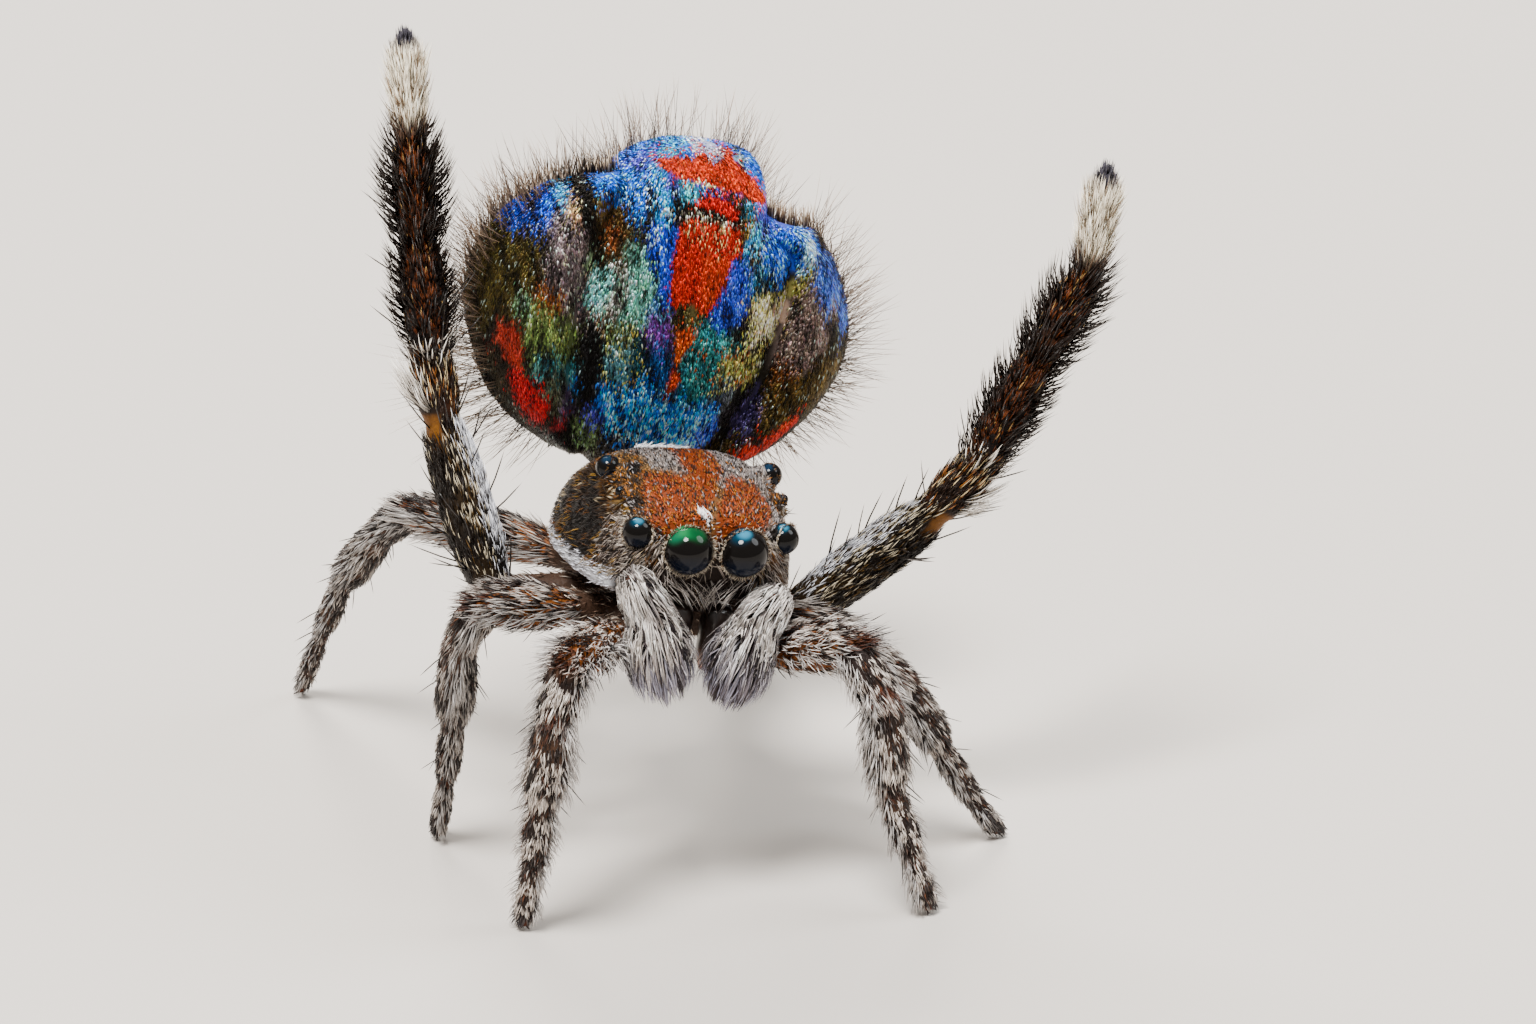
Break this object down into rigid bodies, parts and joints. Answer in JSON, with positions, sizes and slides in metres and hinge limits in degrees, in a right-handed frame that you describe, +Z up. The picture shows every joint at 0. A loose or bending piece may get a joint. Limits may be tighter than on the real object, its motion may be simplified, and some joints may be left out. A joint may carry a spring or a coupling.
{
  "type": "peacock spider",
  "caption": "Male peacock spider, life size, standing on its ground legs with its bright fan up and its third legs raised in display.",
  "frame": {"origin": "on the floor under the middle of the bounding box", "axes": "+Z up, the spider faces -Y, its left side is +X"},
  "size_m": [0.0066, 0.0062, 0.0074],
  "materials": {
    "carapace": "rust-orange and grey scales over a dark hard shell",
    "underside": "dark brown cuticle with short pale hairs",
    "eye": "glossy black lens with green and blue gleams",
    "palp": "shaggy white-grey hair",
    "chelicera": "smooth brown cuticle",
    "fan": "iridescent blue and green scales with red bars",
    "flap": "olive, blue and red scales with a fringe of hairs",
    "leg": "cream and dark brown hairs over brown cuticle",
    "raised_leg": "dark brown cuticle with dense black bristles",
    "tarsus": "cream-white brush of hairs with a grey tip"
  },
  "bodies": {
    "root": {"carapace": "carapace", "underside": "underside", "eye_front_middle_left": "eye", "eye_front_middle_right": "eye", "eye_front_side_left": "eye", "eye_front_side_right": "eye", "eye_small_left": "eye", "eye_small_right": "eye", "eye_back_side_left": "eye", "eye_back_side_right": "eye", "chelicera_left": "chelicera", "palp_arm_left": "palp", "palp_tip_left": "palp", "chelicera_right": "chelicera", "palp_arm_right": "palp", "palp_tip_right": "palp", "leg_1_left_femur": "leg", "leg_1_left_patella": "leg", "leg_1_left_tibia": "leg", "leg_1_left_foot": "leg", "leg_1_right_femur": "leg", "leg_1_right_patella": "leg", "leg_1_right_tibia": "leg", "leg_1_right_foot": "leg", "leg_2_left_femur": "leg", "leg_2_left_patella": "leg", "leg_2_left_tibia": "leg", "leg_2_left_foot": "leg", "leg_2_right_femur": "leg", "leg_2_right_patella": "leg", "leg_2_right_tibia": "leg", "leg_2_right_foot": "leg", "leg_4_left_femur": "leg", "leg_4_left_patella": "leg", "leg_4_left_tibia": "leg", "leg_4_left_foot": "leg", "leg_4_right_femur": "leg", "leg_4_right_patella": "leg", "leg_4_right_tibia": "leg", "leg_4_right_foot": "leg", "leg_3_left_femur": "raised_leg", "leg_3_left_patella": "raised_leg", "leg_3_left_tibia": "raised_leg", "leg_3_left_metatarsus": "raised_leg", "leg_3_left_tarsus": "tarsus", "leg_3_right_femur": "raised_leg", "leg_3_right_patella": "raised_leg", "leg_3_right_tibia": "raised_leg", "leg_3_right_metatarsus": "raised_leg", "leg_3_right_tarsus": "tarsus", "pedicel": "underside", "abdomen": "fan", "flap_left": "flap", "flap_right": "flap", "spinnerets": "underside"}
  },
  "joints": []
}
